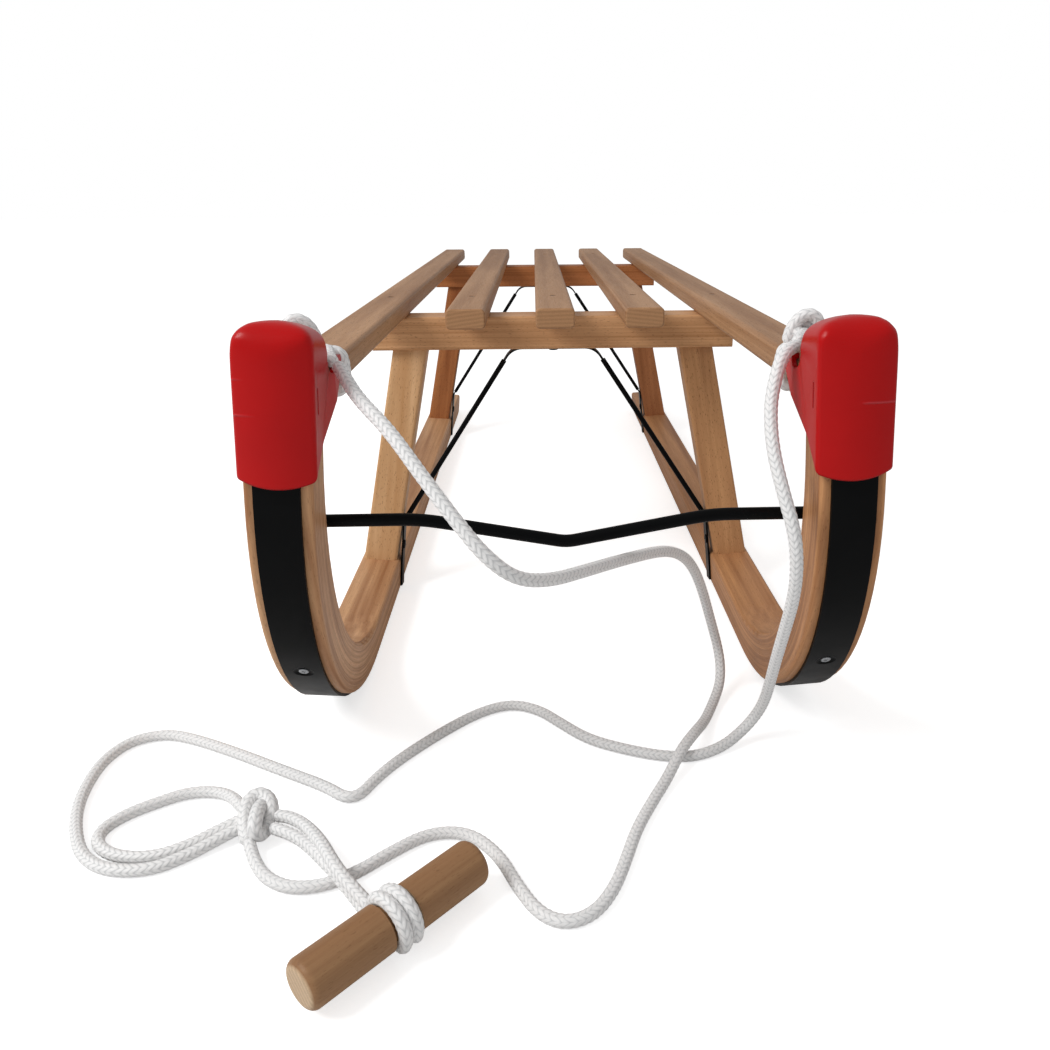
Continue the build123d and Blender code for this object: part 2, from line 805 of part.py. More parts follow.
os.makedirs("parts", exist_ok=True)
for name, shape in make_nodes().items():
    export_step(shape, f"parts/{name}.step")
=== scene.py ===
# %% [markdown]
# # A wooden sled with a pull rope
# The sled's hard parts come from a CAD model, already in place and in metres. Here they get their
# finishes, and the rope, its knots and the screws are made as they are on the real thing.

# %% Load the sled
import math

import bmesh
import bpy
import numpy as np
from mathutils import Matrix, Vector


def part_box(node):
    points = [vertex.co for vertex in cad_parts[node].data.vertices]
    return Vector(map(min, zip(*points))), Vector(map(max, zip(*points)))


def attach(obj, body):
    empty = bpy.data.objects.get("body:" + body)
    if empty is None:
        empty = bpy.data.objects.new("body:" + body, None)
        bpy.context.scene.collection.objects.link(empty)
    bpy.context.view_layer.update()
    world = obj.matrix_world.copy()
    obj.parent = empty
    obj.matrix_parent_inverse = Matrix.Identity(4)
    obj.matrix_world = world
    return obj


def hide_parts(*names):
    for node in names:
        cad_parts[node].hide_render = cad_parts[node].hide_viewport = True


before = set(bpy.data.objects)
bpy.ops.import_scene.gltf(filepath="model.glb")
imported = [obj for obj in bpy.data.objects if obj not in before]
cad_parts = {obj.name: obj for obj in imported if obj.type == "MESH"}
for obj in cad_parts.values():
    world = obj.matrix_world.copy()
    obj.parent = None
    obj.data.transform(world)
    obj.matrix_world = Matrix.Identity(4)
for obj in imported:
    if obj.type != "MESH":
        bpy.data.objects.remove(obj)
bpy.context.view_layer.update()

mm = 0.001

# %% [markdown]
# ## Camera
# The view is from in front of the sled and a little above the seat, close enough that the nose
# caps look large and the far ends of the slats small. A camera's turn is easiest to read as three
# steps: a heading round Z, a tip downwards, and a slight roll about its own view line.

# %% Camera
camera_data = bpy.data.cameras.new("camera")
camera = bpy.data.objects.new("camera", camera_data)
bpy.context.collection.objects.link(camera)
heading, tip, roll = (math.radians(a) for a in (1.9464, 20.2864, -0.3164))
turn = Matrix.Rotation(-heading, 4, "Z") @ Matrix.Rotation(math.pi / 2 - tip, 4, "X")
turn = turn @ Matrix.Rotation(roll, 4, "Z")
camera.matrix_world = Matrix.Translation((-0.015, -0.9103, 0.33389)) @ turn
camera_data.sensor_width = 36.0
camera_data.lens = 30.511
camera_data.shift_x = -0.04005
camera_data.shift_y = -0.00515
camera_data.clip_start = 0.01
bpy.context.scene.camera = camera
print("camera at", tuple(round(c, 3) for c in camera.location))

# %% [markdown]
# ## The rope's routes
# One white braided rope, 7 mm thick, is tied to both outer slats, gathered in a knot on the
# ground and led on to the wooden handle. It lies in five stretches. Each route is a list of places
# that the rope's centre line is drawn towards, from where it leaves the sled or knot: the heights
# show where it lies on the ground, and where it rises over itself.

# %% Routes of the rope
right_rope_route = [
    (-0.1145, -0.462, 0.253),
    (-0.109, -0.473, 0.249),
    (-0.1005, -0.487, 0.241),
    (-0.084, -0.503, 0.229),
    (-0.069, -0.517, 0.212),
    (-0.054, -0.529, 0.195),
    (-0.04, -0.537, 0.179),
    (-0.026, -0.535, 0.166),
    (-0.01, -0.519, 0.158),
    (0.008, -0.492, 0.151),
    (0.031, -0.457, 0.142),
    (0.0556, -0.423, 0.1328),
    (0.0672, -0.409, 0.1264),
    (0.078, -0.394, 0.1154),
    (0.0863, -0.383, 0.1011),
    (0.0942, -0.372, 0.0811),
    (0.1034, -0.36, 0.0522),
    (0.1098, -0.354, 0.032),
    (0.1122, -0.358, 0.0181),
    (0.11, -0.369, 0.0085),
    (0.102, -0.386, 0.0038),
    (0.092, -0.409, 0.0045),
    (0.082, -0.43, 0.011),
    (0.07, -0.449, 0.011),
    (0.059, -0.468, 0.0045),
    (0.048, -0.487, 0.0035),
    (0.036, -0.511, 0.0037),
    (0.028, -0.534, 0.0035),
    (0.02, -0.555, 0.0037),
    (0.009, -0.571, 0.0035),
    (-0.005, -0.577, 0.0037),
    (-0.018, -0.57, 0.0035),
    (-0.028, -0.553, 0.0037),
    (-0.039, -0.528, 0.0035),
    (-0.056, -0.51, 0.0037),
    (-0.078, -0.509, 0.0035),
    (-0.098, -0.525, 0.0037),
    (-0.113, -0.539, 0.0035),
    (-0.13, -0.548, 0.0037),
    (-0.149, -0.547, 0.0035),
    (-0.166, -0.533, 0.004),
    (-0.174, -0.515, 0.007),
]

left_rope_route = [
    (0.122, -0.451, 0.2585),
    (0.115, -0.4575, 0.258),
    (0.109, -0.464, 0.2535),
    (0.105, -0.47, 0.244),
    (0.102, -0.476, 0.231),
    (0.102, -0.486, 0.213),
    (0.106, -0.496, 0.194),
    (0.112, -0.503, 0.174),
    (0.115, -0.502, 0.154),
    (0.117, -0.494, 0.133),
    (0.119, -0.478, 0.108),
    (0.121, -0.46, 0.08),
    (0.123, -0.444, 0.053),
    (0.124, -0.432, 0.033),
    (0.121, -0.425, 0.018),
    (0.112, -0.427, 0.008),
    (0.098, -0.437, 0.0038),
    (0.079, -0.446, 0.0035),
    (0.058, -0.444, 0.0035),
    (0.036, -0.436, 0.0037),
    (0.014, -0.424, 0.0035),
    (-0.003, -0.405, 0.0037),
    (-0.017, -0.388, 0.0035),
    (-0.036, -0.38, 0.0037),
    (-0.057, -0.389, 0.0035),
    (-0.081, -0.413, 0.0037),
    (-0.105, -0.442, 0.0035),
    (-0.116, -0.461, 0.0037),
    (-0.122, -0.475, 0.0035),
    (-0.1305, -0.477, 0.0037),
    (-0.143, -0.466, 0.0035),
    (-0.172, -0.45, 0.0037),
    (-0.206, -0.43, 0.0035),
    (-0.239, -0.413, 0.0037),
    (-0.26, -0.406, 0.0035),
    (-0.279, -0.413, 0.0037),
    (-0.2875, -0.432, 0.0035),
    (-0.287, -0.455, 0.0037),
    (-0.283, -0.477, 0.0035),
    (-0.274, -0.499, 0.0037),
    (-0.261, -0.52, 0.0035),
    (-0.243, -0.5315, 0.0037),
    (-0.22, -0.532, 0.0035),
    (-0.2035, -0.521, 0.0037),
    (-0.1915, -0.5115, 0.0055),
    (-0.1805, -0.5035, 0.007),
]

slack_rope_route = [
    (-0.1805, -0.494, 0.008),
    (-0.187, -0.4865, 0.0075),
    (-0.1945, -0.476, 0.0055),
    (-0.206, -0.468, 0.0035),
    (-0.223, -0.468, 0.0037),
    (-0.239, -0.477, 0.0035),
    (-0.252, -0.487, 0.0037),
    (-0.26, -0.499, 0.0035),
    (-0.257, -0.5115, 0.0037),
    (-0.243, -0.521, 0.0035),
    (-0.222, -0.523, 0.0037),
    (-0.2045, -0.5135, 0.0042),
    (-0.1925, -0.5045, 0.006),
    (-0.1815, -0.4985, 0.008),
]

upper_strand_route = [
    (-0.1644, -0.5002, 0.0105),
    (-0.1595, -0.5005, 0.011),
    (-0.1526, -0.5035, 0.0112),
    (-0.1455, -0.5093, 0.012),
    (-0.1373, -0.5192, 0.0135),
    (-0.1294, -0.5314, 0.0154),
    (-0.1227, -0.5433, 0.0162),
    (-0.1159, -0.5528, 0.0155),
    (-0.1095, -0.5595, 0.0135),
    (-0.1025, -0.5665, 0.0115),
    (-0.0945, -0.5743, 0.0095),
]

lower_strand_route = [
    (-0.164, -0.5074, 0.009),
    (-0.1582, -0.5112, 0.01),
    (-0.1517, -0.5147, 0.0103),
    (-0.145, -0.5195, 0.0105),
    (-0.1385, -0.5256, 0.0105),
    (-0.132, -0.533, 0.0105),
    (-0.1256, -0.5402, 0.0105),
    (-0.1196, -0.5468, 0.0102),
    (-0.114, -0.5528, 0.0078),
    (-0.1085, -0.5585, 0.0055),
    (-0.102, -0.5665, 0.0042),
    (-0.0965, -0.5755, 0.0037),
]
print("route points:", len(right_rope_route), len(left_rope_route), len(slack_rope_route))

# %% [markdown]
# ## Braided rope
# A braid is a tube of strands that cross left and right, which shows as columns of small V's along
# the rope. It could be drawn by bump alone, but then its edge would be smooth. Here a flat grid is
# rolled round the smooth line of the route and pushed in and out by the braid's own pattern, so
# the V's are real, and the grid's UV map counts stitches along and columns round for the finish.

# %% The rope's sizes
rope_diameter = 7.0 * mm
rope_radius = rope_diameter / 2
stitch = 3.6 * mm  # from one V to the next
columns = 8  # of V's round the rope
relief = 0.5 * mm  # depth of the grooves between strands
rings_per_stitch = 6
sides = 5 * columns


# %% A smooth line through a route
def centre_line(name, route):
    """Points of the route's NURBS spline, spaced evenly along it."""
    curve = bpy.data.curves.new(name + "_line", "CURVE")
    curve.dimensions = "3D"
    spline = curve.splines.new("NURBS")
    spline.points.add(len(route) - 1)
    for point, place in zip(spline.points, route):
        point.co = (*place, 1.0)
    spline.order_u = 3
    spline.use_endpoint_u = True
    spline.resolution_u = 24
    holder = bpy.data.objects.new(name + "_line", curve)
    line = bpy.data.meshes.new_from_object(holder)
    places = np.array([tuple(v.co) for v in line.vertices])
    bpy.data.objects.remove(holder)
    bpy.data.meshes.remove(line)
    runs = np.linalg.norm(np.diff(places, axis=0), axis=1)
    travelled = np.concatenate(([0.0], np.cumsum(runs)))
    rings = round(travelled[-1] / stitch * rings_per_stitch)
    stops = np.linspace(0.0, travelled[-1], rings + 1)
    even = [np.interp(stops, travelled, places[:, axis]) for axis in range(3)]
    return np.stack(even, axis=1), travelled[-1]


# %% Directions across the rope that turn no more than its line does
def across_line(places):
    ahead = np.gradient(places, axis=0)
    ahead /= np.linalg.norm(ahead, axis=1)[:, None]
    start = np.cross(ahead[0], (0.31, 0.12, 0.94))
    side = start / np.linalg.norm(start)
    sideways = []
    for direction in ahead:
        side = side - direction * side.dot(direction)
        side = side / np.linalg.norm(side)
        sideways.append(side)
    sideways = np.array(sideways)
    return sideways, np.cross(ahead, sideways)


# %% Height of the braid's surface, from 0 in a groove to 1 on a strand
def braid_height(along, round_):
    column = np.floor(round_)
    across = round_ - column
    slant = 1.0 - 2.0 * (column % 2)
    strand = 0.5 + 0.5 * np.cos(2 * np.pi * (along + slant * (across - 0.5) * 0.9))
    edge = np.sqrt(np.clip(np.sin(np.pi * across), 0.0, 1.0))
    return (0.35 + 0.65 * np.sqrt(strand)) * (0.55 + 0.45 * edge)


# %% Roll a grid round a line to make a rope
def make_rope(name, route, plump=1.0):
    """Mesh of a braided rope along a route, closed at both ends; returns it with its line and length."""
    line, length = centre_line(name, route)
    rings = len(line) - 1
    bm = bmesh.new()
    bm.loops.layers.uv.new("braid")
    bmesh.ops.create_grid(bm, x_segments=rings, y_segments=sides, size=0.5, calc_uvs=True)
    mesh = bpy.data.meshes.new(name)
    bm.to_mesh(mesh)
    bm.free()
    flat = np.empty(len(mesh.vertices) * 3)
    mesh.vertices.foreach_get("co", flat)
    flat = flat.reshape(-1, 3) + 0.5
    ring = np.rint(flat[:, 0] * rings).astype(int)
    angle = 2 * np.pi * flat[:, 1]
    height = braid_height(ring / rings_per_stitch, (flat[:, 1] * columns) % columns)
    radius = rope_radius * plump - relief * (1.0 - height)
    end = np.minimum(ring, rings - ring) * length / rings
    taper = np.clip(end / rope_radius, 0.0, 1.0)
    radius = radius * np.sqrt(1.0 - (1.0 - taper) ** 2)
    side, rise = across_line(line)
    out = np.cos(angle)[:, None] * side[ring] + np.sin(angle)[:, None] * rise[ring]
    mesh.vertices.foreach_set("co", (line[ring] + radius[:, None] * out).ravel())
    layer = mesh.uv_layers[0].data
    lay = np.empty(len(layer) * 2)
    layer.foreach_get("uv", lay)
    lay = lay.reshape(-1, 2) * (rings / rings_per_stitch, columns)
    layer.foreach_set("uv", lay.ravel())
    return mesh, line, length


# %% Close the seam and ends
def close_rope(mesh):
    bm = bmesh.new()
    bm.from_mesh(mesh)
    bmesh.ops.remove_doubles(bm, verts=bm.verts, dist=0.001 * mm)
    bmesh.ops.dissolve_degenerate(bm, edges=bm.edges, dist=0.0005 * mm)
    if bm.calc_volume(signed=True) < 0:
        bmesh.ops.reverse_faces(bm, faces=bm.faces)
    bm.to_mesh(mesh)
    bm.free()
    mesh.shade_smooth()


def add_piece(name, mesh):
    piece = bpy.data.objects.new(name, mesh)
    bpy.context.collection.objects.link(piece)
    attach(piece, "root")
    return piece


def add_rope(name, routes, plump=1.0):
    """One piece from one or more routes of rope."""
    joined = bmesh.new()
    lines = []
    for route in routes:
        mesh, line, length = make_rope(name, route, plump)
        close_rope(mesh)
        joined.from_mesh(mesh)
        bpy.data.meshes.remove(mesh)
        lines.append((line, length))
    mesh = bpy.data.meshes.new(name)
    joined.to_mesh(mesh)
    joined.free()
    mesh.shade_smooth()
    piece = add_piece(name, mesh)
    print(name, "length", [round(length, 4) for _, length in lines], "faces", len(mesh.polygons))
    return piece, lines


# %% [markdown]
# ## Knots and turns
# The rope is tied where it starts, where its strands meet and where it holds the handle. A lump
# would not pass for a knot, so each is laid out as the rope goes: round the slat twice with a
# loop on top, round its own strands, and round the handle's waist. They are the same rope, so the
# same routine makes them. Each is set out about its own middle and then carried to its place.

# %% Middle of a CAD part
def middle(node):
    low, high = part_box(node)
    return (Vector(low) + Vector(high)) / 2


def carry(route, place, angle=0.0):
    """Turn a route about Z and take it, in millimetres, to a place in metres."""
    move = Matrix.Translation(place) @ Matrix.Rotation(math.radians(angle), 4, "Z")
    return [tuple(move @ (Vector(point) * mm)) for point in route]


# %% Knot where the strands meet
knot_hook = [
    (-0.6, -13.0, -5.0),
    (-3.0, -7.5, -2.0),
    (-5.3, -0.8, 1.5),
    (-6.2, 5.7, 4.5),
    (-4.8, 11.6, 6.5),
    (-0.5, 14.2, 7.5),
    (5.0, 11.6, 6.5),
    (8.2, 6.4, 4.5),
    (8.5, 1.6, 1.0),
    (6.0, 0.0, -2.0),
]
knot_lobe = [
    (3.4, 11.5, 1.5),
    (2.2, 6.8, 5.5),
    (2.6, -1.4, 7.0),
    (3.2, -8.4, 6.0),
    (3.4, -12.2, 2.5),
    (5.2, -10.4, -1.5),
    (6.4, -3.7, -3.5),
    (7.3, 1.0, -3.5),
]
knot_core = [
    (-10.5, 8.5, -3.0),
    (-6.7, 5.5, -3.5),
    (0.4, 2.0, -3.5),
    (6.6, -1.0, -2.5),
    (10.5, -4.0, -0.5),
]
knot_back = [
    (-8.5, 0.5, -4.5),
    (-4.0, 5.0, -4.5),
    (0.0, 7.4, -2.5),
    (5.2, 6.4, -0.5),
    (10.5, 2.3, 1.0),
]
knot_bits = (knot_hook, knot_lobe, knot_core, knot_back)
knot_routes = [carry(bit, middle("rope_knot")) for bit in knot_bits]
knot, _ = add_rope("knot", knot_routes, plump=1.15)
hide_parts("rope_knot")

# %% Turns round the handle
handle_angle = 46.7
waist_radius = 9.0
turn_radius = waist_radius + 3.6
points_per_turn = 14
turn_gap = 3.3  # half the distance between the two turns
turn_route = []
for step in range(25):
    angle = -35.0 + 360.0 * step / points_per_turn
    crossing = min(max((angle - 215.0) / 110.0, 0.0), 1.0)
    along = turn_gap * (2.0 * crossing - 1.0)
    around = math.radians(angle)
    turn_route.append((along, turn_radius * math.cos(around), turn_radius * math.sin(around)))
handle_turns, _ = add_rope("handle_turns", [carry(turn_route, middle("handle_hitch"), handle_angle)])
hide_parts("handle_hitch")

# %% Turns round each outer slat, with the knot on top and the strand that leads into the cap
slat_turn = [(10.0, 10.7), (15.6, 9.4), (16.9, 4.5), (16.9, -4.5), (15.6, -9.4), (10.0, -10.7)]
slat_turn += [(-x, z) for x, z in reversed(slat_turn)]
hitch_turns = []
for step in range(2 * len(slat_turn) + 1):
    x, z = slat_turn[step % len(slat_turn)]
    hitch_turns.append((x, 2.6 - 6.8 * step / (2 * len(slat_turn)), z))
hitch_loop = [
    (-9.0, 0.0, 11.5),
    (-8.5, -0.5, 18.0),
    (-4.5, -1.5, 25.5),
    (1.5, -2.5, 28.0),
    (6.5, -3.0, 24.0),
    (6.0, -3.5, 17.5),
    (0.5, -4.0, 14.0),
    (-5.0, -3.0, 17.0),
    (-5.5, 1.5, 22.5),
    (0.5, 2.0, 23.5),
    (6.0, 1.5, 18.0),
    (9.5, 0.0, 11.0),
]
hitch_lead = {
    "right": [
        (-9.0, -2.0, 11.5),
        (-11.5, -10.0, 12.0),
        (-13.5, -18.0, 11.5),
        (-15.5, -24.5, 10.0),
        (-18.5, -27.4, 9.0),
    ],
    "left": [
        (-4.0, 1.0, 17.0),
        (-6.5, -3.0, 17.5),
        (-9.0, -9.0, 17.0),
        (-11.5, -14.5, 16.0),
        (-15.0, -18.5, 15.5),
    ],
}
loop_shift = {"left": -5.0, "right": -4.5}
slat_middle_up = 14.5 * mm  # from the lowest rope to the middle of the slat
for side, sign in (("left", 1.0), ("right", -1.0)):
    low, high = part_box("rope_hitch_" + side)
    place = Vector(((low[0] + high[0]) / 2, (low[1] + high[1]) / 2, low[2] + slat_middle_up))
    shift = loop_shift[side]
    loop = [(x * sign + shift, y, z) for x, y, z in hitch_loop]
    lead = [(x * sign, y, z) for x, y, z in hitch_lead[side]]
    turns_round = [(x * sign, y, z) for x, y, z in hitch_turns]
    routes = [carry(r, place) for r in (turns_round, loop, lead)]
    hitch, _ = add_rope("slat_hitch_" + side, routes)
    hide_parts("rope_hitch_" + side)

# %% [markdown]
# ## The free stretches of rope
# Each free stretch is listed with its name, its CAD node, its route, its real length, its far end and
# the pieces on it; only its route is used to make it.

# %% Free rope
free_ropes = [
    ("rope_strand_right", "rope_right", right_rope_route, 0.9327, "knot", [knot]),
    ("rope_strand_left", "rope_left", left_rope_route, 0.9805, "knot", [knot]),
    ("rope_slack", "rope_slack_loop", slack_rope_route, 0.1888, "object", []),
    ("handle_strand_over", "handle_strand_upper", upper_strand_route, 0.1035, "object", []),
    ("handle_strand_under", "handle_strand_lower", lower_strand_route, 0.0994, "object", []),
]
for name, node, route, length, far_end, on_it in free_ropes:
    strand, lines = add_rope(name, [route])
    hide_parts(node)

# %% [markdown]
# ## Nose caps
# The real caps are moulded, so the crown rounds over softly every way. The CAD cap has its size,
# walls and slot, but its crown's faces meet in ridges. A copy's crown is cut by rows of planes into
# small faces, and a Smooth modifier, held to the crown by a vertex group, melts the ridges into
# one another. Below the crown the copy keeps the CAD cap's exact faces.

# %% Cut the crown of a mesh into small faces
crown_start, crown_full = 255.5 * mm, 265.0 * mm
crown_face = 1.1 * mm


def cut_crown(bm, low, high):
    everything = bm.verts[:] + bm.edges[:] + bm.faces[:]
    bmesh.ops.bisect_plane(bm, geom=everything, plane_co=(0, 0, crown_start), plane_no=(0, 0, 1))
    for axis in range(3):
        normal = Vector([float(axis == i) for i in range(3)])
        start = crown_start if axis == 2 else low[axis]
        for step in range(1, int((high[axis] - start) / crown_face) + 1):
            faces = [f for f in bm.faces if min(v.co.z for v in f.verts) > crown_start - 0.01 * mm]
            parts = set(faces)
            for face in faces:
                parts.update(face.edges)
                parts.update(face.verts)
            place = normal * (start + step * crown_face)
            bmesh.ops.bisect_plane(bm, geom=list(parts), plane_co=place, plane_no=normal)
    bmesh.ops.triangulate(bm, faces=[f for f in bm.faces if len(f.verts) > 4])


# %% Soften the crown of each cap
def soften_cap(side):
    node = "nose_cap_" + side
    mesh = bpy.data.objects[node].data.copy()
    mesh.materials.clear()
    bm = bmesh.new()
    bm.from_mesh(mesh)
    bmesh.ops.remove_doubles(bm, verts=bm.verts, dist=0.001 * mm)
    cut_crown(bm, *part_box(node))
    bmesh.ops.remove_doubles(bm, verts=bm.verts, dist=0.02 * mm)
    bm.to_mesh(mesh)
    bm.free()
    piece = add_piece("cap_" + side, mesh)
    crown = piece.vertex_groups.new(name="crown")
    for vertex in mesh.vertices:
        share = (vertex.co.z - crown_start) / (crown_full - crown_start)
        crown.add([vertex.index], min(max(share, 0.0), 1.0), "REPLACE")
    smooth = piece.modifiers.new("crown", "SMOOTH")
    smooth.factor = 0.5
    smooth.iterations = 140
    smooth.vertex_group = "crown"
    graph = bpy.context.evaluated_depsgraph_get()
    piece.data = bpy.data.meshes.new_from_object(piece.evaluated_get(graph))
    piece.modifiers.clear()
    piece.data.shade_smooth()
    piece.data.set_sharp_from_angle(angle=math.radians(32.0))
    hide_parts(node)
    print(piece.name, "faces", len(piece.data.polygons))


for side in ("left", "right"):
    soften_cap(side)

# %% [markdown]
# ## Finishes
# Every finish is a node tree. Colours are written as on screen and turned to the linear values
# that Cycles works in. One helper adds a node, sets its constants and joins its inputs.

# %% Colour and node helpers
def colour(code):
    """Linear RGBA from an sRGB hex code."""
    parts = [int(code[i : i + 2], 16) / 255 for i in (0, 2, 4)]
    linear = [c / 12.92 if c <= 0.04045 else ((c + 0.055) / 1.055) ** 2.4 for c in parts]
    return (*linear, 1.0)


def add(tree, kind, inputs=(), **settings):
    """Add a node; an input is a constant or another node's output."""
    node = tree.nodes.new("ShaderNode" + kind)
    for key, value in settings.items():
        setattr(node, key, value)
    for key, value in dict(inputs).items():
        if isinstance(value, bpy.types.NodeSocket):
            tree.links.new(value, node.inputs[key])
        else:
            node.inputs[key].default_value = value
    return node


def object_millimetres(tree):
    """The object's own coordinates, so that a pattern's scale can be a real size."""
    place = add(tree, "TexCoord").outputs["Object"]
    return add(tree, "Mapping", {"Vector": place, "Scale": (1 / mm,) * 3}).outputs[0]


def new_finish(name):
    material = bpy.data.materials.new(name)
    material.use_nodes = True
    shader = material.node_tree.nodes["Principled BSDF"]
    return material, material.node_tree, shader


def dress(names, material):
    """Give CAD nodes or pieces one finish."""
    for name in names:
        piece = bpy.data.objects[name]
        piece.data.materials.clear()
        piece.data.materials.append(material)


# %% [markdown]
# ## Lacquered beech
# Beech is a pale, dense wood without strong figure: straight fibres, faint growth lines, and short
# dark rays that show as dashes 2 to 4 mm long. Clear lacquer gives it a soft sheen. The pattern is
# worked out in millimetres across, along and into the wood: on a bent runner, "along" follows the
# bend, so its growth lines do too.

# %% Wood grain from a position in the wood
bend_line_radius = 0.175  # of the wood's middle line in a runner's bend, metres


def wood_position(tree, grain, bend=None):
    """Vector in millimetres: across the grain, along it, and into the wood."""
    place = add(tree, "TexCoord").outputs["Object"]
    if bend is None:
        turn = Vector(grain).rotation_difference(Vector((0, 1, 0))).to_euler()
        scaled = {"Vector": place, "Rotation": tuple(turn), "Scale": (1 / mm,) * 3}
        return add(tree, "Mapping", scaled).outputs["Vector"]
    split = add(tree, "SeparateXYZ", {"Vector": place})
    # Each row of the table below names its result, the sum, and what goes in
    steps = {"y": split.outputs["Y"], "z": split.outputs["Z"]}
    steps["centre_y"], steps["centre_z"] = bend
    sums = (
        ("ahead", "SUBTRACT", "y", "centre_y"),
        ("above", "SUBTRACT", "z", "centre_z"),
        ("before", "MINIMUM", "ahead", 0.0),
        ("under", "MINIMUM", "above", 0.0),
        ("before_squared", "MULTIPLY", "before", "before"),
        ("under_squared", "MULTIPLY", "under", "under"),
        ("squares", "ADD", "before_squared", "under_squared"),
        ("depth", "SQRT", "squares"),
        ("back", "ABSOLUTE", "before"),
        ("down", "ABSOLUTE", "under"),
        ("angle", "ARCTAN2", "back", "down"),
        ("arc", "MULTIPLY", "angle", bend_line_radius),
        ("past_bend", "MAXIMUM", "ahead", 0.0),
        ("over_bend", "MAXIMUM", "above", 0.0),
        ("straight", "SUBTRACT", "past_bend", "over_bend"),
        ("along", "SUBTRACT", "straight", "arc"),
    )
    for result, operation, *values in sums:
        inputs = {i: steps[v] if isinstance(v, str) else v for i, v in enumerate(values)}
        steps[result] = add(tree, "Math", inputs, operation=operation).outputs[0]
    depth, along = steps["depth"], steps["along"]
    joined = add(tree, "CombineXYZ", {"X": split.outputs["X"], "Y": along, "Z": depth})
    return add(tree, "VectorMath", {0: joined.outputs[0], 1: (1 / mm,) * 3}, operation="MULTIPLY").outputs[0]


# %% Beech finish
def beech(name, pale, deep, ray, grain=(0, 1, 0), bend=None, end=None, rays=1.0, growth=0.5):
    material, tree, shader = new_finish(name)
    wood = wood_position(tree, grain, bend)

    def pattern(across, along, into, detail, rough=0.55):
        stretch = (1 / across, 1 / along, 1 / into)
        place = add(tree, "VectorMath", {0: wood, 1: stretch}, operation="MULTIPLY").outputs[0]
        noise = {"Vector": place, "Scale": 1.0, "Detail": detail, "Roughness": rough}
        return add(tree, "TexNoise", noise).outputs["Fac"]

    patches = pattern(22.0, 260.0, 22.0, 2.0)
    lines = pattern(9.0, 420.0, 1.7, 3.0)
    fibres = pattern(0.6, 26.0, 0.6, 3.0, 0.6)
    dashes = pattern(0.65, 3.4, 0.65, 1.0)
    tone = add(tree, "Mix", {0: growth, 2: patches, 3: lines}).outputs[0]
    spread = {"Value": tone, 1: 0.36, 2: 0.64}
    tone = add(tree, "MapRange", spread).outputs[0]
    body = add(tree, "Mix", {0: tone, 6: colour(pale), 7: colour(deep)}, data_type="RGBA").outputs[2]
    fine = add(tree, "MapRange", {"Value": fibres, 1: 0.35, 2: 0.7, 3: 0.0, 4: 0.3}).outputs[0]
    body = add(tree, "Mix", {0: fine, 6: body, 7: colour(deep)}, data_type="RGBA").outputs[2]
    marks = add(tree, "MapRange", {"Value": dashes, 1: 0.63, 2: 0.71, 3: 0.0, 4: 0.62 * rays}).outputs[0]
    body = add(tree, "Mix", {0: marks, 6: body, 7: colour(ray)}, data_type="RGBA").outputs[2]
    if end:
        body = end_grain(tree, wood, body, end, grain)
    tree.links.new(body, shader.inputs["Base Color"])
    relief_ = add(tree, "Mix", {0: 0.35, 2: fibres, 3: dashes}).outputs[0]
    bump = add(tree, "Bump", {"Height": relief_, "Strength": 0.25, "Distance": 0.15 * mm})
    tree.links.new(bump.outputs[0], shader.inputs["Normal"])
    gloss = add(tree, "MapRange", {"Value": fibres, 1: 0.3, 2: 0.7, 3: 0.40, 4: 0.52}).outputs[0]
    tree.links.new(gloss, shader.inputs["Roughness"])
    shader.inputs["IOR"].default_value = 1.45
    shader.inputs["Specular IOR Level"].default_value = 0.22
    return material


# %% End grain: growth rings cut across, with fine pores
def end_grain(tree, wood, body, code, grain):
    normal = add(tree, "NewGeometry").outputs["Normal"]
    along = tuple(Vector(grain).normalized())
    facing = add(tree, "VectorMath", {0: normal, 1: along}, operation="DOT_PRODUCT").outputs["Value"]
    facing = add(tree, "Math", {0: facing}, operation="ABSOLUTE").outputs[0]
    share = add(tree, "MapRange", {"Value": facing, 1: 0.75, 2: 0.95}).outputs[0]
    flat = add(tree, "VectorMath", {0: wood, 1: (1.0, 0.0, 1.0)}, operation="MULTIPLY").outputs[0]
    below = add(tree, "VectorMath", {0: flat, 1: (9.0, 0.0, -250.0)}, operation="SUBTRACT").outputs[0]
    ring_settings = {"Vector": below, "Scale": 0.11, "Distortion": 1.2, "Detail": 2.0, "Detail Scale": 0.4}
    rings = add(tree, "TexWave", ring_settings, wave_type="RINGS", rings_direction="Y").outputs["Fac"]
    pores = add(tree, "TexVoronoi", {"Vector": flat, "Scale": 1.3}).outputs["Distance"]
    pores = add(tree, "MapRange", {"Value": pores, 1: 0.1, 2: 0.45, 3: 0.82, 4: 1.0}).outputs[0]
    strength = add(tree, "MapRange", {"Value": rings, 3: 0.88, 4: 1.06}).outputs[0]
    strength = add(tree, "Math", {0: strength, 1: pores}, operation="MULTIPLY").outputs[0]
    cut = add(tree, "VectorMath", {0: colour(code)[:3], "Scale": strength}, operation="SCALE").outputs[0]
    return add(tree, "Mix", {0: share, 6: body, 7: cut}, data_type="RGBA").outputs[2]


# %% Beech on the runners, the right one paler as painted light
bend_centre = (-0.2995, 0.1965)
# Painted light: the right runner, on the lamp's side, is given paler beech than the left, which is painted in
# shade
runner_tones_painted_light = {"left": ("CF9868", "9A6844", "5E3C22"), "right": ("DDAE82", "9C6C48", "5E3C22")}
for side, tones in runner_tones_painted_light.items():
    runner_beech_painted_light = beech(f"bent_beech_painted_light_{side}", *tones, bend=bend_centre, rays=0.55, growth=0.65)
    dress(["runner_" + side], runner_beech_painted_light)
